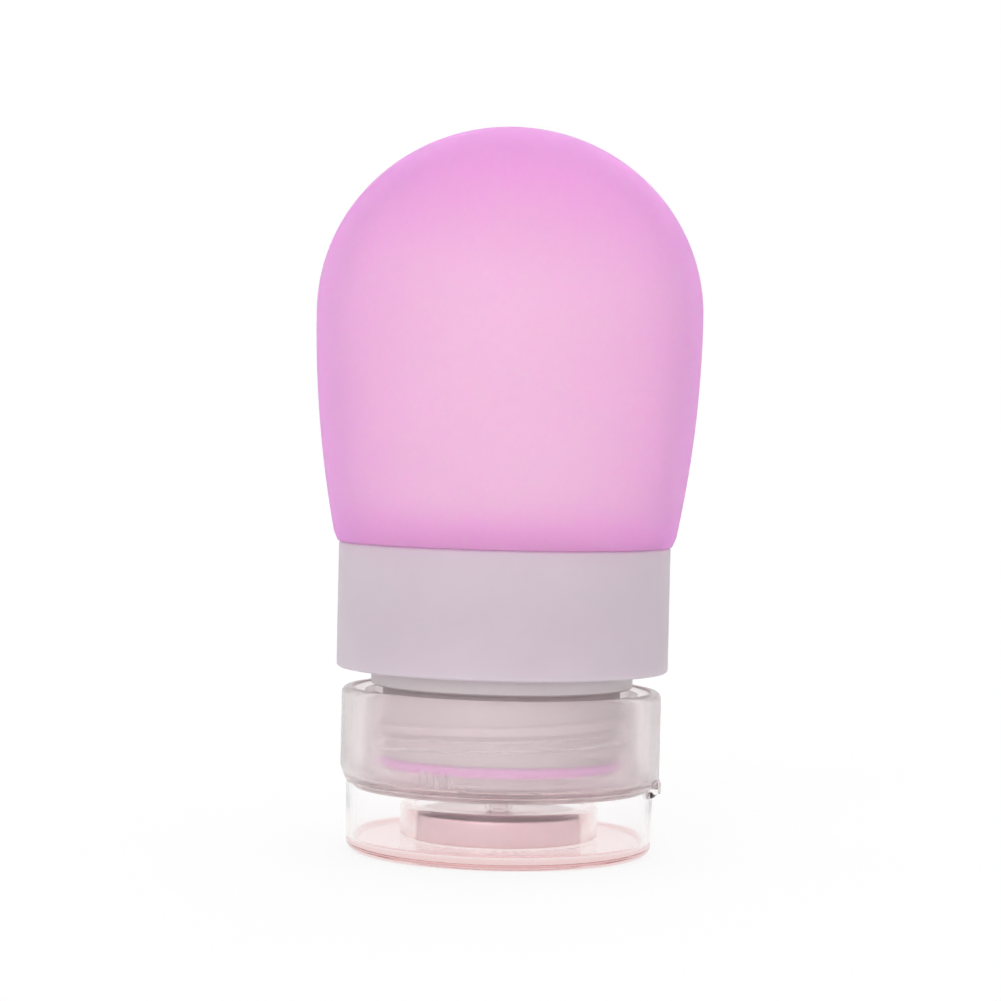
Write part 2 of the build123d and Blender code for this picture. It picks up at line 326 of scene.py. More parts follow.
@dataclass(frozen=True)
class Thread:
    """One-start screw thread with blunt crests and ends that run out into the wall, in millimetres."""

    pitch: float = 3.2
    depth: float = 0.8
    crest: float = 0.8
    base: float = 1.5
    sink: float = 0.2
    run_out: float = 2.2
    run_out_slope: float = 0.15  # share of the ridge's depth that is left at its very end

    def ridge(
        self, name: str, wall: float, level: float, turns: float, angle: float, side: Side
    ) -> Workpiece:
        """Model the ridge as a closed solid that is rooted in its wall.

        Args:
            name: The piece's name.
            wall: Radius of the wall.
            level: Height at which the ridge starts.
            turns: How far it winds, in half turns or whole ones.
            angle: Where it starts, in degrees from +X.
            side: Whether it stands out of the wall or into the bore.

        Returns:
            The ridge, to be joined to its wall.
        """
        deselect_all()
        crest_radius = wall + side.value * self.depth
        root_radius = wall - side.value * self.sink
        middle = at((crest_radius + root_radius) / 2, 0, level)
        width = self.depth + self.sink
        bpy.ops.mesh.primitive_plane_add(size=self.base * MM, location=middle, rotation=(math.pi / 2, 0, 0))
        piece = Workpiece(name)
        piece.edit()
        bpy.ops.transform.resize(value=(width / self.base, 1, 1), center_override=middle)
        piece.select(lambda p: abs(p.x - crest_radius) < TOUCH)
        bpy.ops.transform.resize(value=(1, 1, self.crest / self.base), center_override=at(0, 0, level))
        piece.leave()
        winding = piece.obj.modifiers.new("winding", "SCREW")
        winding.angle = FULL_TURN * turns
        winding.screw_offset = self.pitch * turns * MM
        winding.steps = winding.render_steps = round(ROUND_STEPS * turns)
        bpy.ops.object.modifier_apply(modifier=winding.name)
        end_level = level + self.pitch * turns
        end_side = math.cos(FULL_TURN * turns)
        for x_side, end, heading in ((1.0, level, -1.0), (end_side, end_level, end_side)):
            self._run_out(piece, Vector((x_side * root_radius, 0, end)), heading)
        piece.edit()
        bpy.ops.mesh.remove_doubles(threshold=TOUCH * MM)
        bpy.ops.mesh.fill_holes(sides=4)
        bpy.ops.mesh.select_all(action="SELECT")
        bpy.ops.mesh.normals_make_consistent(inside=False)
        piece.leave()
        piece.turn(angle)
        return piece

    def _run_out(self, piece: Workpiece, root: Vector, heading: float) -> None:
        """Extrude one end of the ridge along its wall and sink it into the wall.

        Args:
            piece: The ridge.
            root: The middle of the end, at the wall, in millimetres.
            heading: Which way along Y the end faces.
        """
        rise = self.pitch * self.run_out / (FULL_TURN * abs(root.x)) * math.copysign(1, heading)
        if root.x < 0:
            rise = -rise
        near = self.base
        piece.edit(lambda p: abs(p.y) < TOUCH and abs(p.x - root.x) < near and abs(p.z - root.z) < near)
        bpy.ops.mesh.extrude_edges_move(TRANSFORM_OT_translate={"value": at(0, heading * self.run_out, rise)})
        bpy.ops.transform.resize(
            value=(self.run_out_slope, 1, self.run_out_slope), center_override=root * MM + at(0, 0, rise)
        )
        piece.leave()


@dataclass(frozen=True)
class Sizes:
    """Sizes that several pieces share, in millimetres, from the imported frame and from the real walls."""

    lid_rim: float
    lid_radius: float
    nozzle_tip: float
    cap_rim: float
    cap_radius: float
    neck_end: float
    collar_top: float
    collar_radius: float
    lip_level: float
    dome_top: float
    bulb_radius: float

    seam: float = 0.2
    step_height: float = 0.8
    deck: float = 1.4
    neck_bore: float = 12.4
    neck_wall: float = 1.4
    seat: float = 0.05
    collar_gap: float = 2.3
    web_recess: float = 3.7
    web: float = 1.4
    root_gap: float = 0.3
    root_shelf: float = 1.3
    root_step: float = 1.4
    collar_wall: float = 1.2
    thread_lead: float = 1.25
    thread_angle: float = -40.0
    thread_radial_clearance: float = 0.35
    lid_wall: float = 0.65
    hinge_web: float = 0.3
    land_half_width: float = 4.65
    rooting: float = 0.15
    socket_height: float = 2.0

    @classmethod
    def from_frame(cls) -> "Sizes":
        """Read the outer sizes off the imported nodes.

        Returns:
            The sizes.
        """
        lid, cap, collar, bulb = (
            [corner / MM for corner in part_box(node)]
            for node in ("flip_lid", "screw_cap", "collar", "squeeze_body")
        )
        return cls(
            lid_rim=lid[1].z,
            lid_radius=lid[1].y,
            nozzle_tip=cap[0].z,
            cap_rim=cap[1].z,
            cap_radius=cap[1].y,
            neck_end=collar[0].z,
            collar_top=collar[1].z,
            collar_radius=collar[1].y,
            lip_level=bulb[0].z,
            dome_top=bulb[1].z,
            bulb_radius=bulb[1].y,
        )

    @property
    def shoulder(self) -> float:
        """Level of the cap's shoulder, just above the lid's rim."""
        return self.lid_rim + self.seam

    @property
    def step(self) -> float:
        """Level of the cap's step, inside the lid."""
        return self.shoulder - self.step_height

    @property
    def deck_top(self) -> float:
        """Level of the inside of the cap's deck."""
        return self.step + self.deck

    @property
    def collar_bottom(self) -> float:
        """Level of the collar's lower rim."""
        return self.cap_rim + self.collar_gap

    @property
    def web_bottom(self) -> float:
        """Level of the underside of the collar's web."""
        return self.collar_bottom + self.web_recess

    @property
    def web_top(self) -> float:
        """Level of the top of the collar's web."""
        return self.web_bottom + self.web

    @property
    def root(self) -> float:
        """Level of the step at the root of the neck."""
        return self.cap_rim + self.root_gap

    @property
    def shelf(self) -> float:
        """Level of the shelf inside the root."""
        return self.root + self.root_shelf

    @property
    def neck_radius(self) -> float:
        """Radius of the neck under its thread."""
        return self.neck_bore + self.neck_wall

    @property
    def thread_level(self) -> float:
        """Level at which both threads start."""
        return self.neck_end + self.thread_lead

    @property
    def hinge_plane(self) -> float:
        """How far out the flat lands lie that carry the hinge's web."""
        return self.cap_radius - self.hinge_web


class NodeGraph:
    """The shader nodes of a material or of the world."""

    def __init__(self, owner: Material | bpy.types.World) -> None:
        """Start an empty graph.

        Args:
            owner: The material or the world that the nodes belong to.
        """
        owner.use_nodes = True
        self.tree = owner.node_tree
        self.tree.nodes.clear()

    def add(
        self, kind: str, settings: dict | None = None, links: dict | None = None, out: str | int = 0
    ) -> Socket | None:
        """Add a node with its settings and links.

        Args:
            kind: The node's type, without the prefix that all shader nodes have.
            settings: Values by input name or number, or by property name where no input has it.
            links: Sockets that feed its inputs, by input name or number.
            out: The name or number of the output that is wanted.

        Returns:
            That output, or nothing where the node has no outputs.
        """
        node = self.tree.nodes.new("ShaderNode" + kind)
        for key, value in (settings or {}).items():
            if isinstance(key, int) or key in node.inputs:
                node.inputs[key].default_value = value
            else:
                setattr(node, key, value)
        for key, socket in (links or {}).items():
            self.tree.links.new(socket, node.inputs[key])
        return node.outputs[out] if node.outputs else None

    def height(self) -> Socket:
        """Give the height of a point on the piece, in metres."""
        return self.add("SeparateXYZ", links={"Vector": self.add("TexCoord", out="Object")}, out="Z")

    def relief(
        self, size: float, depth: float, low: float, high: float, detail: float = 1.0, fineness: float = 0.5
    ) -> dict[str, Socket]:
        """Raise the surface by a noise and let its roughness follow.

        Args:
            size: Size of one grain, in millimetres.
            depth: How high the grain stands, in millimetres.
            low: Roughness where the noise is nought.
            high: Roughness where the noise is one.
            detail: How many finer layers the noise has.
            fineness: How strong the finer layers are.

        Returns:
            What feeds the shader's roughness and its normal.
        """
        settings = {"Scale": 1 / (size * MM), "Detail": detail, "Roughness": fineness}
        noise = self.add("TexNoise", settings, {"Vector": self.add("TexCoord", out="Object")}, "Fac")
        bump = self.add("Bump", {"Strength": 1.0, "Distance": depth * MM}, {"Height": noise})
        spread = self.add("MapRange", {"To Min": low, "To Max": high}, {"Value": noise})
        return {"Roughness": spread, "Normal": bump}

    def seen_directly(self) -> Socket:
        """Tell rays that show a thing from the light that falls on things.

        Returns:
            One for rays from the camera, a gloss or a clear piece, and nought for other light.
        """
        seen = self.add("LightPath", out="Is Camera Ray")
        for kind in ("Is Glossy Ray", "Is Transmission Ray"):
            seen = self.add("Math", {"operation": "MAXIMUM"}, {0: seen, 1: self.add("LightPath", out=kind)})
        return seen

    def finish(self, surface: Socket, absorbed: str | None = None, density: float = 0.0) -> None:
        """Add a material's output, and what its inside takes out of the light.

        Args:
            surface: The surface's shader.
            absorbed: The colour that is left after a long way through, where any is taken out.
            density: How fast the rest is taken out.
        """
        links = {"Surface": surface}
        if absorbed:
            links["Volume"] = self.add("VolumeAbsorption", {"Color": linear(absorbed), "Density": density})
        self.add("OutputMaterial", links=links)


@dataclass(frozen=True)
class MilkyMaterial:
    """A material that light goes a few millimetres into before it comes out elsewhere.

    Sizes and levels are in millimetres. The roughness goes down and up with the grain, which is drawn coarser
    than the real one, so that it shows.
    """

    name: str
    colour: str
    deep_colour: str
    glow: tuple[float, float, float]
    roughness: float
    clearness: float
    index: float
    absorbed: str | None = None
    density: float = 0.0
    glow_depth: float = 3.0
    bloom: float = 0.0
    bloom_colour: str = WHITE
    bloom_spread: float = 0.5
    cloud: float = 7.0
    detail: float = 2.0
    grain: float = 0.3
    grain_depth: float = 0.008
    fineness: float = 0.5
    smoother: float = 0.04
    rougher: float = 0.06

    def make(self) -> Material:
        """Build the material.

        Returns:
            The material.
        """
        material = bpy.data.materials.new(self.name)
        graph = NodeGraph(material)
        low, high = self.roughness - self.smoother, self.roughness + self.rougher
        links = graph.relief(self.grain, self.grain_depth, low, high, self.detail, self.fineness)
        patches = {"Scale": 1 / (self.cloud * MM), "Detail": self.detail}
        cloud = graph.add("TexNoise", patches, {"Vector": graph.add("TexCoord", out="Object")}, "Fac")
        tints = {"data_type": "RGBA", MIX_FROM: linear(self.colour), MIX_TO: linear(self.deep_colour)}
        links |= self.tint(graph, graph.add("Mix", tints, {MIX_SHARE: cloud}, MIX_RESULT))
        settings = {
            "IOR": self.index,
            "Subsurface Weight": 1.0,
            "Subsurface Radius": self.glow,
            "Subsurface Scale": self.glow_depth * MM,
            "Transmission Weight": self.clearness,
            "Sheen Weight": self.bloom,
            "Sheen Roughness": self.bloom_spread,
            "Sheen Tint": linear(self.bloom_colour),
        }
        graph.finish(graph.add("BsdfPrincipled", settings, links), self.absorbed, self.density)
        return material

    def tint(self, graph: NodeGraph, colour: Socket) -> dict[str, Socket]:
        """Keep the colour the same all over."""
        return {"Base Color": colour}


@dataclass(frozen=True)
class MouldedSilicone(MilkyMaterial):
    """Liquid silicone, moulded in a sand-blasted tool: soft, matt and translucent, with a pale bloom.

    Some light passes both walls, so the middle glows and an edge, which is a longer way through, is deeper in
    colour. The index is silicone's 1.41 where none is given. Levels are above the floor.
    """

    index: float = 1.41
    bloom_colour: str = "#FFA4FF"
    bloom_spread: float = 0.7
    dome_and_foot_colour: str | None = None
    lip_colour: str = WHITE
    lip_below: float = 20.0
    belly_top: float = 62.0
    dome_level: float = 86.0
    foot_level: float = 36.0
    belly_bottom: float = 42.0
    cloud: float = 9.0
    detail: float = 3.0
    grain: float = 0.32
    grain_depth: float = 0.012
    fineness: float = 0.6
    smoother: float = 0.05
    rougher: float = 0.07

    def tint(self, graph: NodeGraph, colour: Socket) -> dict[str, Socket]:
        """Deepen the colour towards the dome and at the foot, and give the folded lip a colour of its own.

        Args:
            graph: The material's nodes.
            colour: The colour at the belly.

        Returns:
            What feeds the shader's colour, and its clearness where that isn't the same all over.
        """
        if self.dome_and_foot_colour is None:
            return super().tint(graph, colour)
        height = graph.height()
        # Deeper in colour towards the dome and towards the foot
        shares = [
            graph.add(
                "MapRange",
                {"interpolation_type": "SMOOTHSTEP", "From Min": start * MM, "From Max": end * MM},
                {"Value": height},
            )
            for start, end in ((self.belly_top, self.dome_level), (self.belly_bottom, self.foot_level))
        ]
        ends_share = graph.add("Math", {"operation": "MAXIMUM"}, dict(enumerate(shares)))
        tints = {"data_type": "RGBA", MIX_TO: linear(self.dome_and_foot_colour)}
        bulb = graph.add("Mix", tints, {MIX_SHARE: ends_share, MIX_FROM: colour}, MIX_RESULT)
        above = graph.add("Math", {"operation": "GREATER_THAN", 1: self.lip_below * MM}, {0: height})
        tints = {"data_type": "RGBA", MIX_FROM: linear(self.lip_colour)}
        mixed = graph.add("Mix", tints, {MIX_SHARE: above, MIX_TO: bulb}, MIX_RESULT)
        clear = graph.add("Math", {"operation": "MULTIPLY", 1: self.clearness}, {0: above})
        return {"Base Color": mixed, "Transmission Weight": clear}


@dataclass(frozen=True)
class FrostedPolypropylene(MilkyMaterial):
    """Polypropylene with a little grey-lilac colour, moulded matt: milky, with a fine grain.

    The index is polypropylene's.
    """

    name: str = "frosted_polypropylene"
    colour: str = "#D6CBD4"
    deep_colour: str = "#CFC2CC"
    glow: tuple[float, float, float] = (1.0, 0.9, 0.95)
    roughness: float = 0.5
    clearness: float = 0.1
    index: float = 1.49
    neck_colour: str = "#C6BBBE"
    # Painted light: the root is lighter, to make up for the shade under the collar's overhang
    root_painted_light_colour: str = "#FFECEF"
    neck_top: float = 19.5
    neck_zone_within: float = 16.0
    band_zone_beyond: float = 18.0

    def tint(self, graph: NodeGraph, colour: Socket) -> dict[str, Socket]:
        """Give the neck a darker grey of its own, and its root a lighter colour that is painted light against
        the shade under the collar's overhang.

        Args:
            graph: The material's nodes.
            colour: The colour of the band.

        Returns:
            What feeds the shader's colour.
        """
        place = graph.add("TexCoord", out="Object")
        across = graph.add("VectorMath", {"operation": "MULTIPLY", 1: (1, 1, 0)}, {"Vector": place})
        distance = graph.add("VectorMath", {"operation": "LENGTH"}, {"Vector": across}, "Value")
        span = {"From Min": self.neck_zone_within * MM, "From Max": self.band_zone_beyond * MM}
        band = graph.add("MapRange", span, {"Value": distance})
        settings = {"operation": "GREATER_THAN", 1: self.neck_top * MM}
        above = graph.add("Math", settings, {0: graph.height()})
        # The neck's darker grey below, and the root's painted light above
        tints = {"data_type": "RGBA", MIX_FROM: linear(self.neck_colour), MIX_TO: linear(self.root_painted_light_colour)}
        neck_and_root_tones = graph.add("Mix", tints, {MIX_SHARE: above}, MIX_RESULT)
        links = {MIX_SHARE: band, MIX_FROM: neck_and_root_tones, MIX_TO: colour}
        return {"Base Color": graph.add("Mix", {"data_type": "RGBA"}, links, MIX_RESULT)}


@dataclass(frozen=True)
class ClearPolypropylene:
    """Clarified polypropylene, moulded against a polished tool: clear, with a little haze and flow waves.

    A thin wall shows no colour. A long way through it, as at a rim or along the plate, turns a warm pale
    grey, which the absorption along the way gives. The plate is also painted a pale pink on its surface, a
    painted tint for the light that it carries when seen edge-on. The index is matched to the object, and lies
    below the plastic's own 1.49. Levels and sizes are in millimetres.
    """

    name: str = "clear_polypropylene"
    colour: str = WHITE
    plate_colour: str = WHITE
    plate_top: float = 1.3
    wall_from: float = 1.9
    clearness: float = 1.0
    roughness: float = 0.06
    rougher: float = 0.05  # how far the roughness goes up with the waves
    index: float = 1.34
    absorbed: str = "#D58F8A"
    density: float = 20.0
    wave: float = 4.0
    wave_depth: float = 0.006

    def make(self) -> Material:
        """Build the material, which lets the lamps' light through unbent.

        Returns:
            The material.
        """
        material = bpy.data.materials.new(self.name)
        graph = NodeGraph(material)
        links = graph.relief(self.wave, self.wave_depth, self.roughness, self.roughness + self.rougher)
        # Painted tint: the plate's colour below the walls stands in for the pink light it carries when seen
        # edge-on
        span = {"From Min": self.plate_top * MM, "From Max": self.wall_from * MM}
        walls = graph.add("MapRange", span, {"Value": graph.height()})
        tints = {"data_type": "RGBA", MIX_FROM: linear(self.plate_colour), MIX_TO: linear(self.colour)}
        links["Base Color"] = graph.add("Mix", tints, {MIX_SHARE: walls}, MIX_RESULT)
        settings = {"IOR": self.index, "Transmission Weight": self.clearness}
        glass = graph.add("BsdfPrincipled", settings, links)
        lamp_ray = graph.add("LightPath", out="Is Shadow Ray")
        window = graph.add("BsdfTransparent", {"Color": linear(WHITE)})
        surface = graph.add("MixShader", links={0: lamp_ray, 1: glass, 2: window})
        graph.finish(surface, self.absorbed, self.density)
        return material


@dataclass(frozen=True)
class StudioPaper:
    """White seamless paper that is plain white to the eye, apart from a small share of its shadows."""

    name: str = "studio_paper"
    shadow_strength: float = 0.22
    glow: float = 1.03  # just over one, so that it shows as pure white

    def make(self) -> Material:
        """Build the material.

        Returns:
            The material.
        """
        material = bpy.data.materials.new(self.name)
        graph = NodeGraph(material)
        paper = graph.add("BsdfDiffuse", {"Color": linear(WHITE)})
        white = graph.add("Emission", {"Color": linear(WHITE), "Strength": self.glow})
        settings = {"operation": "MULTIPLY", 1: 1 - self.shadow_strength}
        share = graph.add("Math", settings, {0: graph.seen_directly()})
        graph.finish(graph.add("MixShader", links={0: share, 1: paper, 2: white}))
        return material


@dataclass
class SqueezeBulb:
    """Hollow silicone bulb with its band in the collar, its neck, and the lip folded over the neck's end."""

    sizes: Sizes
    finish: Material
    wall: float = 2.6
    waist_rise: float = 26.6
    foot_overhang: float = 0.6
    foot_round: float = 1.0
    foot_round_share: float = 0.45  # of the foot's rounding that the flat foot stands in by
    band_skin: float = 1.6
    flange_skin: float = 1.4
    flange_taper_share: float = 0.57  # of the band's height, below which the inside narrows to the root
    band_taper_share: float = 0.725  # of the band's height, above which the inside widens to the bulb
    mouth_radius: float = 10.85
    lip_thickness: float = 1.1
    lip_overlap: float = 0.2
    lip_round: float = 0.4
    dome_steps: int = 48
    flank_steps: int = 24

    def build(self) -> None:
        """Model the bulb and deliver it."""
        s = self.sizes
        foot = s.collar_top + s.seat
        foot_radius = s.collar_radius + self.foot_overhang
        band = s.collar_radius - s.collar_wall - s.seat
        band_inside = band - self.band_skin
        root_outside = s.neck_bore + s.root_step - s.seat
        root_inside = self.mouth_radius + s.root_step
        neck_outside = s.neck_bore - s.seat
        lip_radius = s.neck_radius + self.lip_overlap
        lip_top = s.lip_level + self.lip_thickness
        shelf = s.shelf + s.seat
        web_top = s.web_top + s.seat
        band_height = foot - s.web_top
        fold = [
            (foot_radius - self.foot_round * self.foot_round_share, foot), (band, foot), (band, web_top),
            (root_outside, web_top), (root_outside, shelf), (neck_outside, shelf), (neck_outside, lip_top),
            (lip_radius, lip_top), (lip_radius, s.lip_level), (self.mouth_radius, s.lip_level),
            (self.mouth_radius, s.shelf), (root_inside, s.shelf + s.root_step),
            (root_inside, web_top + self.flange_skin),
            (band_inside, s.web_top + self.flange_taper_share * band_height),
            (band_inside, s.web_top + self.band_taper_share * band_height),
        ]
        outside = self._skin(0.0, foot_radius, foot)
        inside = self._skin(self.wall, foot_radius, foot)
        piece = TurnedPiece("bulb_silicone", outside + fold + inside[::-1])
        piece.close_poles(s.dome_top, s.dome_top - self.wall)
        piece.round_rings(
            self.lip_round, (lip_radius, s.lip_level), (lip_radius, lip_top), (self.mouth_radius, s.lip_level)
        )
        piece.clean()
        piece.deliver(self.finish, "bottle", "squeeze_body", "silicone_pink")

    def _skin(self, inset: float, foot_radius: float, foot: float) -> list[Ring]:
        """Rings of one face of the bulb, from its pole down to its foot.

        Args:
            inset: How far the face lies inside the bulb's outside.
            foot_radius: Radius of the outside at the foot, before its rounding.
            foot: Level of the foot.

        Returns:
            The rings, from the pole down.
        """
        s = self.sizes
        waist = s.collar_top + self.waist_rise
        radius, rise = s.bulb_radius - inset, s.dome_top - waist - inset
        rings = []
        for step in range(self.dome_steps + 1):
            angle = math.pi / 2 * (1 - step / self.dome_steps)
            rings.append((max(radius * math.cos(angle), POLE), waist + rise * math.sin(angle)))
        drop = waist - (foot + self.foot_round)
        draw = radius - (foot_radius - inset)
        sweep_radius = (drop**2 + draw**2) / (2 * draw)
        sweep = math.asin(drop / sweep_radius)
        for step in range(1, self.flank_steps + 1):
            angle = sweep * step / self.flank_steps
            rings.append(
                (radius - sweep_radius * (1 - math.cos(angle)), waist - sweep_radius * math.sin(angle))
            )
        return rings


@dataclass
class ThreadedCollar:
    """Frosted collar: the band that shows, its web, the stepped root and the threaded neck."""

    sizes: Sizes
    finish: Material
    thread: Thread
    edge_round: float = 0.35
    thread_turns: float = 1.5

    def build(self) -> None:
        """Model the collar and deliver it."""
        s = self.sizes
        bore = s.collar_radius - s.collar_wall
        root_radius = s.neck_radius + s.root_step
        root_bore = s.neck_bore + s.root_step
        section = [
            (s.collar_radius, s.collar_bottom), (s.collar_radius, s.collar_top), (bore, s.collar_top),
            (bore, s.web_top), (root_bore, s.web_top), (root_bore, s.shelf), (s.neck_bore, s.shelf),
            (s.neck_bore, s.neck_end), (s.neck_radius, s.neck_end), (s.neck_radius, s.root),
            (root_radius, s.root), (root_radius, s.web_bottom), (bore, s.web_bottom),
            (bore, s.collar_bottom),
        ]
        piece = TurnedPiece("collar_frosted", section)
        piece.close_section()
        piece.round_rings(
            self.edge_round, (s.collar_radius, s.collar_bottom), (s.collar_radius, s.collar_top),
            (root_radius, s.root), (s.neck_radius, s.root),
        )
        ridge = self.thread.ridge(
            "neck_thread", s.neck_radius, s.thread_level, self.thread_turns, s.thread_angle, Side.OUT
        )
        piece.combine(ridge, Mating.JOIN)
        piece.clean()
        piece.deliver(self.finish, "bottle", "collar", "plastic_frosted")


@dataclass
class ScrewCap:
    """Clear cap: nozzle, stepped deck, outer skirt, threaded inner skirt, bead, valve socket, stop ribs."""

    sizes: Sizes
    finish: Material
    thread: Thread
    inner_wall: float = 0.9
    outer_wall: float = 1.2
    inner_setback: float = 0.4
    lid_clearance: float = 0.2
    bead_setback: float = 0.45
    bead_width: float = 1.4
    bead_height: float = 1.0
    socket_radius: float = 7.2
    socket_wall: float = 1.0
    well_radius: float = 4.0
    well_depth: float = 0.7
    nozzle_radius: float = 1.55
    nozzle_bore: float = 0.9
    shoulder_round: float = 1.0
    rim_round: float = 0.8
    step_round: float = 0.3
    thread_turns: float = 1.0
    rib_groups: int = 3
    ribs: int = 5
    rib_height: float = 1.8
    rib_reach: float = 0.6
    rib_thickness: float = 0.35
    rib_spacing: float = 3.2  # degrees
    rib_angle: float = -116.0
    notch_radius: float = 2.2
    notch_depth: float = 0.8
    land_height: float = 0.7

    def build(self) -> None:
        """Model the cap and deliver it."""
        s = self.sizes
        crest = s.neck_radius + s.thread_radial_clearance
        thread_wall = crest + self.thread.depth
        inner_radius = thread_wall + self.inner_wall
        outer_bore = s.cap_radius - self.outer_wall
        step_radius = s.lid_radius - s.lid_wall - self.lid_clearance
        inner_rim = s.cap_rim - self.inner_setback
        bead = crest - self.bead_setback
        bead_inside = bead - self.bead_width
        bead_top = s.deck_top + self.bead_height
        socket_outside = self.socket_radius + self.socket_wall
        socket_top = s.deck_top + s.socket_height
        well_floor = s.deck_top - self.well_depth
        section = [
            (self.nozzle_bore, s.nozzle_tip), (self.nozzle_radius, s.nozzle_tip),
            (self.nozzle_radius, s.step), (step_radius, s.step), (step_radius, s.shoulder),
            (s.cap_radius, s.shoulder), (s.cap_radius, s.cap_rim), (outer_bore, s.cap_rim),
            (outer_bore, s.deck_top), (inner_radius, s.deck_top), (inner_radius, inner_rim),
            (thread_wall, inner_rim), (thread_wall, s.deck_top), (bead, s.deck_top), (bead, bead_top),
            (bead_inside, bead_top), (bead_inside, s.deck_top), (socket_outside, s.deck_top),
            (socket_outside, socket_top), (self.socket_radius, socket_top),
            (self.socket_radius, s.deck_top), (self.well_radius, s.deck_top),
            (self.well_radius, well_floor), (self.nozzle_bore, well_floor),
        ]
        piece = TurnedPiece("screw_cap_clear", section)
        piece.close_section()
        piece.round_rings(self.shoulder_round, (s.cap_radius, s.shoulder), steps=6)
        piece.round_rings(self.rim_round, (s.cap_radius, s.cap_rim), steps=6)
        piece.round_rings(
            self.step_round, (step_radius, s.step), (self.nozzle_radius, s.nozzle_tip),
            (self.nozzle_radius, s.step), (outer_bore, s.deck_top), (bead, bead_top),
            (bead_inside, bead_top),
        )
        ridge = self.thread.ridge(
            "cap_thread", thread_wall, s.thread_level, self.thread_turns, s.thread_angle - 180, Side.IN
        )
        piece.combine(ridge, Mating.JOIN)
        self._add_stop_ribs(piece, inner_radius)
        self._cut_hinge_land(piece)
        self._cut_thumb_notch(piece)
        piece.clean()
        piece.deliver(self.finish, "cap", "screw_cap", "plastic_clear")

    def _add_stop_ribs(self, piece: Workpiece, wall: float) -> None:
        """Add groups of short upright ribs round the foot of the inner skirt.

        Args:
            piece: The cap.
            wall: The inner skirt's outer radius.
        """
        s = self.sizes
        half = self.rib_thickness / 2
        low, high = s.deck_top - s.rooting, s.deck_top + self.rib_height
        for group in range(self.rib_groups):
            for number in range(self.ribs):
                rib = Block("rib", (wall - s.rooting, -half, low), (wall + self.rib_reach, half, high))
                turn = self.rib_angle + group * 360 / self.rib_groups
                turn += (number - (self.ribs - 1) / 2) * self.rib_spacing
                rib.turn(turn)
                piece.combine(rib, Mating.JOIN)

    def _cut_hinge_land(self, piece: Workpiece) -> None:
        """Add a flat land for the hinge at the foot of the outer skirt, and cut the skirt's bulge off it.

        Args:
            piece: The cap.
        """
        s = self.sizes
        plane, side = s.hinge_plane, s.land_half_width
        top = s.shoulder + self.land_height
        inside = s.cap_radius - self.outer_wall + s.rooting
        piece.combine(Block("land", (inside, -side, s.shoulder), (plane, side, top)), Mating.JOIN)
        low, out = s.shoulder - self.outer_wall, s.cap_radius + self.outer_wall
        piece.combine(Block("recess", (plane, -side, low), (out, side, top)), Mating.CUT)

    def _cut_thumb_notch(self, piece: Workpiece) -> None:
        """Scoop the shoulder opposite the hinge, so that a thumb finds the lid's rim.

        Args:
            piece: The cap.
        """
        s = self.sizes
        out = s.cap_radius + self.notch_radius - self.notch_depth
        piece.combine(Bar("scoop", self.notch_radius, 2 * s.cap_radius, (-out, 0, s.shoulder)), Mating.CUT)


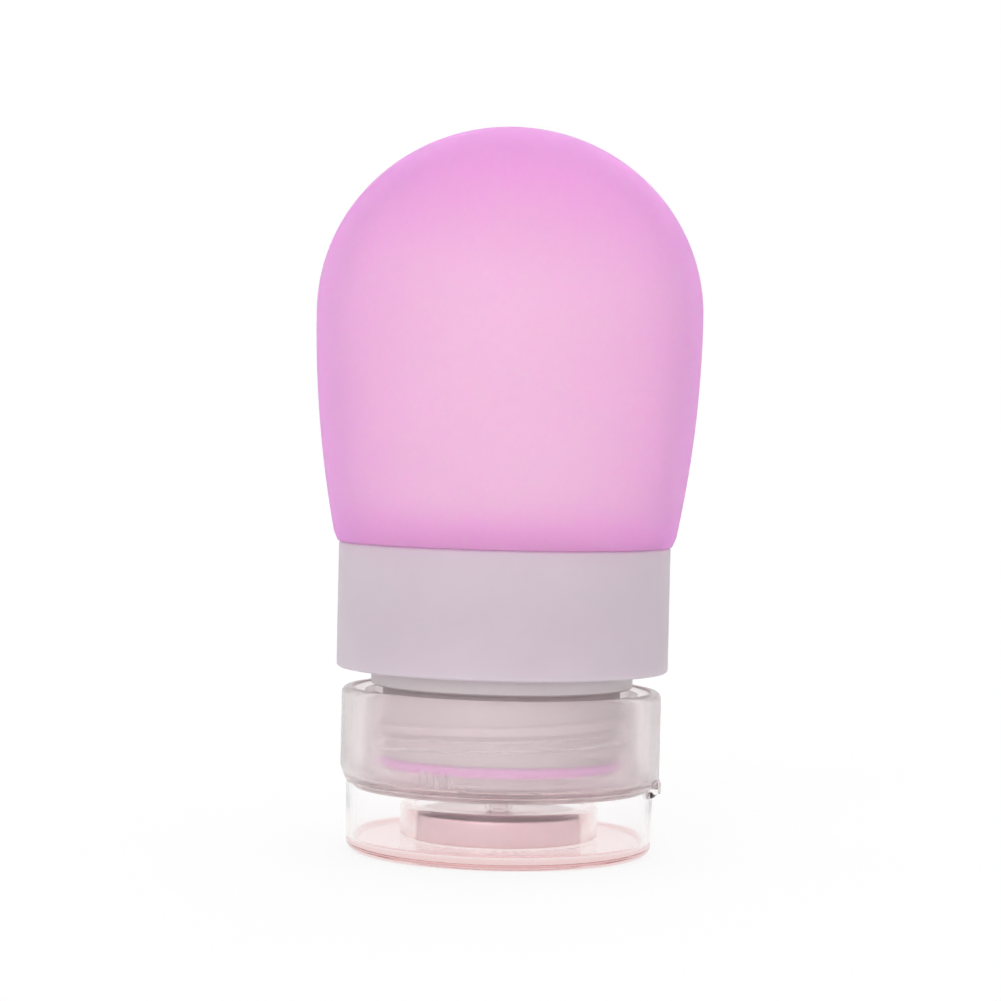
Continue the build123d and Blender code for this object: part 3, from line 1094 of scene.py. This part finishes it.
@dataclass
class DripValve:
    """No-drip valve in the cap's socket: a dished disc with a cross slit, and the ring over its flange."""

    sizes: Sizes
    finish: Material
    retainer_finish: Material
    radius: float = 7.1
    free_radius: float = 4.0
    flange: float = 0.8
    membrane: float = 0.55
    dish: float = 0.9
    dish_share: float = 0.75  # of the dish, halfway out
    arc_steps: int = 14
    slit_length: float = 4.4
    slit_width: float = 0.14
    retainer_bore: float = 4.4
    retainer_rim: float = 8.2
    retainer_flange: float = 0.8
    notch_depth: float = 0.9
    notch_half_width: float = 0.7
    notches: int = 4
    overrun: float = 0.5
    edge_round: float = 0.12

    def build(self) -> None:
        """Model the valve and deliver it."""
        level = self.sizes.deck_top + self.sizes.seat
        flange_top = level + self.flange
        lower = self._dish(level)
        upper = [(radius, height + self.membrane) for radius, height in reversed(lower)]
        flange = [(self.radius, level), (self.radius, flange_top), (self.free_radius, flange_top)]
        piece = TurnedPiece("slit_valve_silicone", lower + flange + upper)
        piece.close_poles(level + self.dish, level + self.dish + self.membrane)
        piece.clean()
        piece.round_rings(self.edge_round, (self.radius, flange_top), (self.radius, level), steps=3)
        half_length, half_width = self.slit_length / 2, self.slit_width / 2
        for name, x, y in (("slit", half_length, half_width), ("cross_slit", half_width, half_length)):
            piece.combine(Block(name, (-x, -y, level), (x, y, level + 2 * self.dish)), Mating.CUT)
        piece.clean()
        piece.deliver(self.finish, "valve", "slit_valve", "silicone_pale")

    def _dish(self, level: float) -> list[Ring]:
        """Rings along the underside of the dished membrane.

        Args:
            level: The level of the membrane's edge.

        Returns:
            The rings, from the middle out.
        """
        half = self.free_radius / 2
        rise = self.dish_share * self.dish
        bend = (self.dish - 2 * rise) / (2 * half * half)
        slope = (2 * rise - self.dish / 2) / half
        rings = []
        for step in range(self.arc_steps + 1):
            radius = self.free_radius * step / self.arc_steps
            inward = self.free_radius - radius
            rings.append((max(radius, POLE), level + inward * (slope + bend * inward)))
        return rings

    def build_retainer(self) -> None:
        """Model the ring that snaps over the socket, notched round its rim for a tool, and deliver it."""
        s = self.sizes
        low = s.deck_top + 2 * s.seat + self.flange
        seat = s.deck_top + s.socket_height + s.seat
        top = seat + self.retainer_flange
        section = [
            (self.retainer_bore, low), (self.radius, low), (self.radius, seat), (self.retainer_rim, seat),
            (self.retainer_rim, top), (self.retainer_bore, top),
        ]
        piece = TurnedPiece("valve_retainer_clear", section)
        piece.close_section()
        piece.round_rings(self.retainer_flange / 2, (self.retainer_rim, top))
        piece.round_rings(self.edge_round, (self.retainer_bore, top), steps=3)
        for number in range(self.notches):
            notch = Block(
                "notch",
                (self.retainer_rim - self.notch_depth, -self.notch_half_width, seat - self.overrun),
                (self.retainer_rim + self.overrun, self.notch_half_width, top + self.overrun),
            )
            notch.turn(number * 360 / self.notches)
            piece.combine(notch, Mating.CUT)
        piece.clean()
        piece.deliver(self.retainer_finish, "valve", "valve_retainer", "plastic_clear")


@dataclass
class FlipLid:
    """Clear lid with a thin wall, a thick plate and an inner ring, and the silicone seal in that ring."""

    sizes: Sizes
    finish: Material
    seal_finish: Material
    plate: float = 1.5
    draft: float = 0.15
    base_round: float = 1.2
    inner_round: float = 0.4
    ring_radius: float = 11.5
    ring_wall: float = 1.75
    ring_gap: float = 2.0
    ring_round: float = 0.25
    land_height: float = 0.55
    land_slope: float = 0.7
    seal_edge: float = 0.35

    def build(self) -> None:
        """Model the lid and deliver it."""
        s = self.sizes
        foot = s.lid_radius - self.draft
        bore = s.lid_radius - s.lid_wall
        bore_foot = bore - self.draft
        ring_bore = self.ring_radius - self.ring_wall
        ring_top = s.step - self.ring_gap
        section = [
            (POLE, 0), (foot, 0), (s.lid_radius, s.lid_rim), (bore, s.lid_rim), (bore_foot, self.plate),
            (self.ring_radius, self.plate), (self.ring_radius, ring_top), (ring_bore, ring_top),
            (ring_bore, self.plate), (POLE, self.plate),
        ]
        piece = TurnedPiece("flip_lid_clear", section)
        piece.close_poles(0, self.plate)
        piece.clean()
        piece.round_rings(self.base_round, (foot, 0), steps=8)
        piece.round_rings(self.inner_round, (bore_foot, self.plate))
        piece.round_rings(self.ring_round, (self.ring_radius, ring_top), (ring_bore, ring_top))
        self._add_hinge_land(piece)
        piece.clean()
        piece.deliver(self.finish, "lid", "flip_lid", "plastic_clear")

    def _add_hinge_land(self, piece: Workpiece) -> None:
        """Add the wedge that carries the hinge and runs back into the wall below it.

        Args:
            piece: The lid.
        """
        s = self.sizes
        plane, side = s.hinge_plane, s.land_half_width
        low = s.lid_rim - self.land_height
        inside = s.lid_radius - s.lid_wall + s.rooting
        land = Block("lid_land", (inside, -side, low - self.land_slope), (plane, side, s.lid_rim))
        land.edit(lambda p: p.x > plane - TOUCH and p.z < low)
        bpy.ops.transform.translate(value=at(0, 0, self.land_slope))
        land.leave()
        piece.combine(land, Mating.JOIN)

    def build_seal(self) -> None:
        """Model the seal as a disc with a soft edge and deliver it."""
        low, high = (Vector(corner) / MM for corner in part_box("nozzle_seal"))
        section = [(POLE, low.z), (high.x, low.z), (high.x, high.z), (POLE, high.z)]
        piece = TurnedPiece("nozzle_seal_silicone", section)
        piece.close_poles(low.z, high.z)
        piece.clean()
        piece.round_rings(self.seal_edge, (high.x, high.z))
        piece.deliver(self.seal_finish, "lid", "nozzle_seal", "silicone_pale")


@dataclass
class LivingHinge:
    """Thin web, moulded with the cap and the lid, that bends as the lid opens."""

    finish: Material
    bend_half_height: float = 0.3
    groove: float = 0.1
    steps: int = 14

    def build(self) -> None:
        """Model the web with a groove across its middle, between cap and lid."""
        low, high = (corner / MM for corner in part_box("living_hinge"))
        middle = (low.z + high.z) / 2
        web = Block("hinge_web_clear", low, high)
        web.edit()
        for step in range(1, self.steps):
            bpy.ops.mesh.select_all(action="SELECT")
            level = low.z + (high.z - low.z) * step / self.steps
            bpy.ops.mesh.bisect(plane_co=at(0, 0, level), plane_no=(0, 0, 1))
        web.select(lambda p: abs(p.z - middle) < TOUCH and p.x > high.x - TOUCH)
        bpy.ops.transform.translate(value=at(-self.groove, 0, 0))
        web.leave()
        web.clean()
        web.dress(self.finish)
        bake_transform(web.obj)
        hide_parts("living_hinge")
        log.info("%s bends between cap and lid", web.obj.name)


@dataclass
class Studio:
    """White sweep, soft light and the camera at the photograph's place, in metres and degrees."""

    distance: float = 0.360
    eye_level: float = 0.05068
    aim_level: float = 0.04078
    aim_side: float = -0.00062
    roll: float = 1.3
    focal_length: float = 111.5  # millimetres
    nearest: float = 0.01
    floor_size: float = 40.0
    diffuser_angle: float = 50.0
    world_light: float = 0.75

    def build(self) -> None:
        """Set the stage."""
        self._view()
        self._floor()
        self._world()
        self._soft_light("key", (-0.3, -1.0, 0.4), 0.95)
        self._soft_light("fill", (0.5, -1.0, 0.05), 0.3)
        self._soft_light("back", (0.1, 0.8, 0.6), 0.3)
        scene = bpy.context.scene
        scene.view_settings.view_transform = "Standard"
        # A ray right through the cap and the neck crosses more than a dozen surfaces
        scene.cycles.max_bounces = 24
        scene.cycles.diffuse_bounces = 8
        scene.cycles.glossy_bounces = 12
        scene.cycles.transmission_bounces = 24
        scene.cycles.transparent_max_bounces = 32

    def _view(self) -> None:
        """Create the camera."""
        lens = bpy.data.cameras.new("camera")
        lens.lens = self.focal_length
        lens.clip_start = self.nearest
        camera = bpy.data.objects.new("camera", lens)
        bpy.context.scene.collection.objects.link(camera)
        camera.location = (0, -self.distance, self.eye_level)
        aim = Vector((self.aim_side, 0, self.aim_level)) - camera.location
        camera.rotation_mode = "QUATERNION"
        turn = Quaternion((0, 0, 1), math.radians(self.roll))
        camera.rotation_quaternion = aim.to_track_quat("-Z", "Y") @ turn
        bpy.context.scene.camera = camera

    def _floor(self) -> None:
        """Lay the paper that the bottle stands on."""
        deselect_all()
        bpy.ops.mesh.primitive_plane_add(size=self.floor_size, location=(0, 0, 0))
        floor = bpy.context.active_object
        floor.name = "floor"
        floor.data.materials.append(StudioPaper().make())

    def _world(self) -> None:
        """Light the scene from all round, in front of a white background."""
        world = bpy.data.worlds.new("studio")
        bpy.context.scene.world = world
        graph = NodeGraph(world)
        settings = {"To Min": self.world_light, "To Max": 1.0}
        strength = graph.add("MapRange", settings, {"Value": graph.seen_directly()})
        light = graph.add("Background", {"Color": linear(WHITE)}, {"Strength": strength})
        graph.add("OutputWorld", links={"Surface": light})

    def _soft_light(self, name: str, direction: tuple[float, float, float], strength: float) -> None:
        """Light the bottle from one side through a wide diffuser.

        Args:
            name: The lamp's name.
            direction: Where the light comes from, as seen from the bottle.
            strength: Its strength, in watts to the square metre.
        """
        lamp = bpy.data.lights.new(name, "SUN")
        lamp.angle = math.radians(self.diffuser_angle)
        lamp.energy = strength
        light = bpy.data.objects.new(name, lamp)
        bpy.context.scene.collection.objects.link(light)
        light.location = direction
        light.rotation_mode = "QUATERNION"
        light.rotation_quaternion = (-Vector(direction)).to_track_quat("-Z", "Y")


def main() -> None:
    """Build the studio and every piece of the bottle."""
    logging.basicConfig(level=logging.INFO, format="%(name)s: %(message)s")
    Studio().build()
    sizes, thread = Sizes.from_frame(), Thread()
    hazy = ClearPolypropylene(
        "hazed_clear_polypropylene", colour="#FFFBFC", clearness=0.9, roughness=0.2, index=1.2, density=18.0
    ).make()
    clear = ClearPolypropylene(plate_colour="#ECC4C4", index=1.3, density=10.0).make()
    milky = ClearPolypropylene("natural_polypropylene", "#FBF3F3", clearness=0.4, roughness=0.3).make()
    pink = MouldedSilicone(
        "pink_silicone", colour="#FFF4F4", deep_colour="#FFEEF0", glow=(1.0, 0.35, 0.8), roughness=0.4,
        clearness=0.71, index=1.2, absorbed="#FF8CFF", density=90.0, bloom=0.55, dome_and_foot_colour="#FFDCF2",
        lip_colour="#D180C5",
    ).make()
    pale = MouldedSilicone(
        "pale_silicone", colour="#FDF0F2", deep_colour="#FBEAED", glow=(1.0, 0.8, 0.8), roughness=0.1,
        clearness=0.85, absorbed="#F4C8D0", density=40.0, grain_depth=0.001,
    ).make()
    SqueezeBulb(sizes, pink).build()
    ThreadedCollar(sizes, FrostedPolypropylene().make(), thread).build()
    ScrewCap(sizes, hazy, thread).build()
    valve = DripValve(sizes, pale, milky)
    valve.build()
    valve.build_retainer()
    lid = FlipLid(sizes, clear, pale)
    lid.build()
    lid.build_seal()
    LivingHinge(hazy).build()


if __name__ == "__main__":
    main()
